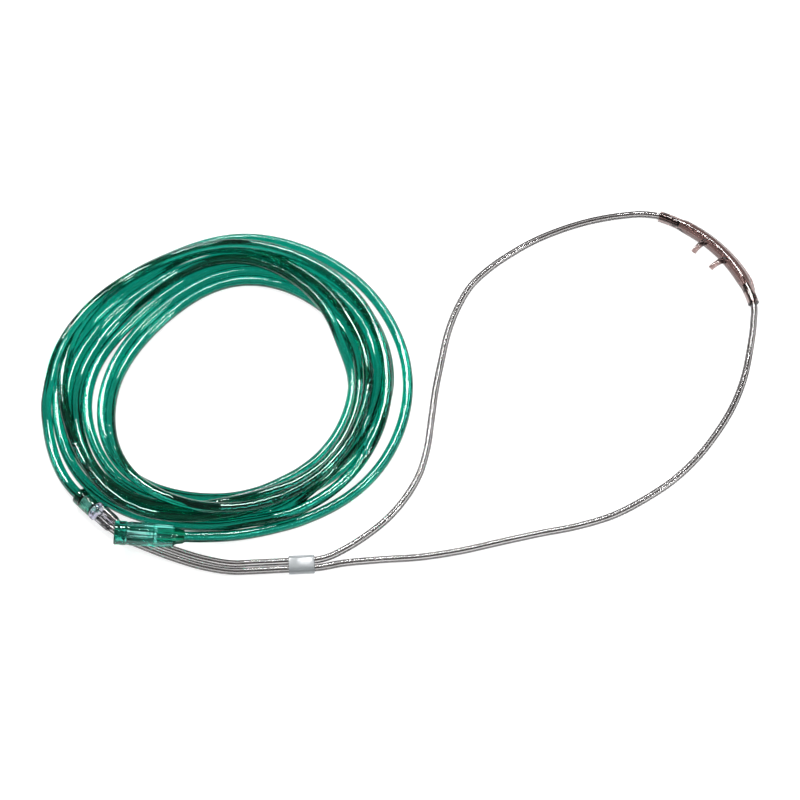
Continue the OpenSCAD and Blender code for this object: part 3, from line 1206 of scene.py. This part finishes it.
@dataclass
class NosePiece:
    """The soft bent moulding with the two curved prongs."""

    centre: Triple = (103.0, 37.0, 3.75)
    direction: float = 39.0
    bend_r: float = 80.0
    half_angle: float = 29.0
    middle_r: float = 3.75
    end_r: float = 3.2
    bore_r: float = 1.5
    socket_r: float = 2.05
    socket_angle: float = 9.0
    rim_outer: float = 85.95
    rim_half_angle: float = 27.0
    rim_top: float = 2.6
    rim_fade: float = 9.0
    rim_least: float = 0.3
    ease_angles: Pair = (16.0, 21.0)
    prong_angle: float = 6.09
    prong_rise: float = 35.0
    prong_sweep: float = 75.0
    prong_bend_r: float = 7.8
    prong_root_r: float = 2.9
    prong_neck_r: float = 1.9
    prong_r: float = 1.7
    prong_bore_r: float = 0.95
    prong_root: float = 4.5

    def point(self, angle: float) -> np.ndarray:
        """A point on the middle of the moulding by its angle from the prongs' middle."""
        turn = math.radians(self.direction + angle)
        return np.array(self.centre) + self.bend_r * np.array([math.cos(turn), math.sin(turn), 0.0])

    def bent(self, sizes: Sequence[Pair], sides: int = 32) -> BMesh:
        """A round bar bent about the origin.

        Args:
            sizes: Pairs of the angle and the bar's radius there, in millimetres.
            sides: Number of sides of the bar.

        Returns:
            The closed bar, in metres.
        """
        bm = bmesh.new()
        verts = bmesh.ops.create_circle(bm, segments=sides, radius=sizes[0][1] * MM)["verts"]
        bmesh.ops.rotate(bm, verts=verts, matrix=spin(90.0, "X", 3))
        bmesh.ops.translate(bm, verts=verts, vec=(self.bend_r * MM, 0, 0))
        bmesh.ops.rotate(bm, verts=verts, matrix=spin(sizes[0][0], "Z", 3))
        edges = first = list(bm.edges)
        for (a, ra), (b, rb) in zip(sizes, sizes[1:]):
            verts, edges = extruded(bm, edges)
            bmesh.ops.rotate(bm, verts=verts, matrix=spin(b - a, "Z", 3))
            middle = Vector((math.cos(math.radians(b)), math.sin(math.radians(b)), 0)) * self.bend_r * MM
            bmesh.ops.scale(bm, verts=verts, vec=(rb / ra,) * 3, space=Matrix.Translation(-middle))
        for loop in (first, edges):
            bmesh.ops.holes_fill(bm, edges=loop)
        return closed_up(bm)

    def prong(self, side: int, root_r: float, neck_r: float, tip_r: float) -> BMesh:
        """One prong, or the bore to cut in it.

        Args:
            side: Which of the two, -1 or 1.
            root_r: Radius where it leaves the body.
            neck_r: Radius where the straight root ends.
            tip_r: Radius of the curved end.

        Returns:
            The closed prong, in metres.
        """
        bm = bmesh.new()
        verts = bmesh.ops.create_circle(bm, segments=28, radius=root_r * MM)["verts"]
        bmesh.ops.rotate(bm, verts=verts, matrix=spin(90.0, "Y", 3))
        edges = first = list(bm.edges)
        radius = root_r
        steps, bends = 4, 12
        forward = Matrix.Translation((self.prong_root / steps * MM, 0, 0))
        for k in range(1, steps + 1):
            goal = root_r + (neck_r - root_r) * math.sin(math.pi / 2 * k / steps)
            edges = self.grown(bm, edges, forward, goal / radius)
            radius = goal
        pivot = Matrix.Translation((self.prong_root * MM, 0, -self.prong_bend_r * MM))
        turn = pivot @ spin(self.prong_sweep / bends, "Y") @ pivot.inverted()
        for k in range(1, bends + 1):
            goal = tip_r + (neck_r - tip_r) * max(0.0, 1 - k / steps)
            edges = self.grown(bm, edges, turn, goal / radius)
            radius = goal
        for loop in (first, edges):
            bmesh.ops.holes_fill(bm, edges=loop)
        closed_up(bm)
        reach = Matrix.Translation((self.bend_r * MM, 0, 0))
        bm.transform(reach @ spin(180.0, "Z") @ spin(-self.prong_rise, "Y"))
        bm.transform(spin(side * self.prong_angle, "Z"))
        return bm

    @staticmethod
    def grown(bm: BMesh, edges: Edges, move: Matrix, scale: float) -> Edges:
        """Extrudes a ring, moves the new one and scales it about its own middle.

        Args:
            bm: The mesh.
            edges: The ring.
            move: How the new ring moves.
            scale: Its size against the old one.

        Returns:
            The new ring's edges.
        """
        verts, edges = extruded(bm, edges)
        bmesh.ops.transform(bm, matrix=move, verts=verts)
        middle = sum((v.co for v in verts), Vector()) / len(verts)
        bmesh.ops.scale(bm, verts=verts, vec=(scale,) * 3, space=Matrix.Translation(-middle))
        return edges

    def rim(self) -> BMesh:
        """The flat rim along the outer side of the bend."""
        bm = bmesh.new()
        low, high = 0.4 - self.middle_r, self.rim_top - self.middle_r
        inside, outside = self.bend_r + 1.8, self.rim_outer
        section = rounded([(inside, low), (outside, low), (outside, high), (inside, high)], 0.8)
        verts = [bm.verts.new((r * MM, 0.0, z * MM)) for r, z in section]
        face = bm.faces.new(verts)
        bmesh.ops.rotate(bm, verts=verts, matrix=spin(-self.rim_half_angle, "Z", 3))
        bmesh.ops.spin(
            bm,
            geom=[face, *face.edges, *verts],
            cent=(0, 0, 0),
            axis=(0, 0, 1),
            angle=math.radians(2 * self.rim_half_angle),
            steps=36,
            use_duplicate=False,
        )
        bmesh.ops.contextual_create(bm, geom=[e for e in bm.edges if e.is_boundary])
        inner = inside * MM
        for vert in bm.verts:
            angle = abs(math.degrees(math.atan2(vert.co.y, vert.co.x)))
            inward = max(0.0, self.rim_half_angle - angle) / self.rim_fade
            share = min(1.0, self.rim_least + (1.0 - self.rim_least) * inward)
            flat = vert.co.xy
            vert.co.xy = flat * ((inner + (flat.length - inner) * share) / flat.length)
        return closed_up(bm)

    def body_sizes(self) -> list[Pair]:
        """The body's radius along the bend: thick between the prongs, slimmer at the ends."""
        out, cuts = [], 48
        low, high = self.ease_angles
        for k in range(cuts + 1):
            angle = -self.half_angle + 2 * self.half_angle * k / cuts
            ease = min(1.0, max(0.0, (high - abs(angle)) / (high - low)))
            ease = ease * ease * (3 - 2 * ease)
            out.append((angle, self.end_r + (self.middle_r - self.end_r) * ease))
        return out

    def build(self) -> bpy.types.Object:
        """Joins body, rim and prongs, hollows them and puts the whole in place."""
        radii = (self.prong_root_r, self.prong_neck_r, self.prong_r)
        parts = [("UNION", self.rim())] + [("UNION", self.prong(side, *radii)) for side in (-1, 1)]
        gallery = [(self.half_angle * (k / 12 - 1), self.bore_r) for k in range(25)]
        parts.append(("DIFFERENCE", self.bent(gallery, 24)))
        for side in (-1, 1):
            start = side * (self.half_angle - self.socket_angle)
            socket = [(start + side * k, self.socket_r) for k in range(int(self.socket_angle) + 2)]
            parts.append(("DIFFERENCE", self.bent(socket, 28)))
            parts.append(("DIFFERENCE", self.prong(side, *[self.prong_bore_r] * 3)))
        bm = carved(self.bent(self.body_sizes()), parts)
        bm.transform(Axis(self.centre, self.direction).matrix())
        return piece("nose_moulding", bm, NOSE_VINYL, Body.CANNULA, ("nose_piece",), 38.0)


NOSE = NosePiece()


# ------------------------------------------------------------------------------ studio


@dataclass
class Studio:
    """The camera, the pale table and the soft lights."""

    aim: Triple = (-0.018, -0.010, 0.0)
    distance: float = 1.0
    elevation: float = 60.0
    lens: float = 81.8
    sensor: float = 36.0
    nearest: float = 0.01
    table: float = 24.0
    lamps: tuple[tuple[str, Triple, Pair, float], ...] = (
        ("key_lamp", (-0.8, 0.9, 1.5), (0.4, 0.25), 22.0),
        ("fill_lamp", (1.2, -0.3, 1.4), (0.3, 0.3), 12.0),
        ("top_lamp", (0.0, 1.05, 1.9), (0.6, 0.5), 34.0),
    )
    sky: Triple = (0.5, 0.52, 0.54)
    sky_strength: float = 0.25
    bounces: int = 24

    def camera(self) -> None:
        """Sets the camera at the viewing angle, without shift or blur."""
        data = bpy.data.cameras.new("camera")
        data.lens, data.sensor_width, data.clip_start = self.lens, self.sensor, self.nearest
        rise = math.radians(self.elevation)
        back = Vector((0.0, -math.cos(rise), math.sin(rise))) * self.distance
        camera = placed("camera", data)
        camera.location = Vector(self.aim) + back
        camera.rotation_euler = (math.pi / 2 - rise, 0.0, 0.0)
        bpy.context.scene.camera = camera

    def floor(self) -> None:
        """Lays the pale table top under everything."""
        bm = bmesh.new()
        bmesh.ops.create_grid(bm, x_segments=8, y_segments=8, size=self.table / 2)
        mesh = mesh_from("table_top", bm)
        mesh.materials.append(TableTop().material())
        top = placed("table_top", mesh)

    def lamp(self, name: str, place: Triple, size: Pair, power: float) -> None:
        """Hangs one soft lamp that faces the middle of the table.

        Args:
            name: The lamp's name.
            place: Where it hangs.
            size: Its width and height.
            power: Its power in watts.
        """
        data = bpy.data.lights.new(name, "AREA")
        data.shape, data.size, data.size_y, data.energy = "RECTANGLE", *size, power
        lamp = placed(name, data)
        lamp.location = place
        lamp.rotation_euler = (Vector(place) - Vector(self.aim)).to_track_quat("Z", "Y").to_euler()

    def light(self) -> None:
        """Lights the table from behind and the right, under a grey sky."""
        for lamp in self.lamps:
            self.lamp(*lamp)
        world = bpy.data.worlds.new("studio")
        world.use_nodes = True
        sky = world.node_tree.nodes["Background"].inputs
        sky["Color"].default_value = (*self.sky, 1.0)
        sky["Strength"].default_value = self.sky_strength
        scene = bpy.context.scene
        scene.world = world
        scene.view_settings.view_transform = "Standard"
        scene.cycles.max_bounces = self.bounces
        scene.cycles.transmission_bounces = self.bounces

    def build(self) -> None:
        """Sets up the whole studio."""
        self.camera()
        self.floor()
        self.light()


def main() -> None:
    """Builds every piece in order."""
    logging.basicConfig(level=logging.INFO, format="%(message)s")
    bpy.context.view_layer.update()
    Studio().build()
    supply = SupplyTube()
    tube = supply.build()
    Lariats().build()
    connector = EndConnector().build()
    cuff = Cuff().build()
    Wye().build()
    Slide().build()
    NOSE.build()
    supply.declare()


if __name__ == "__main__":
    main()
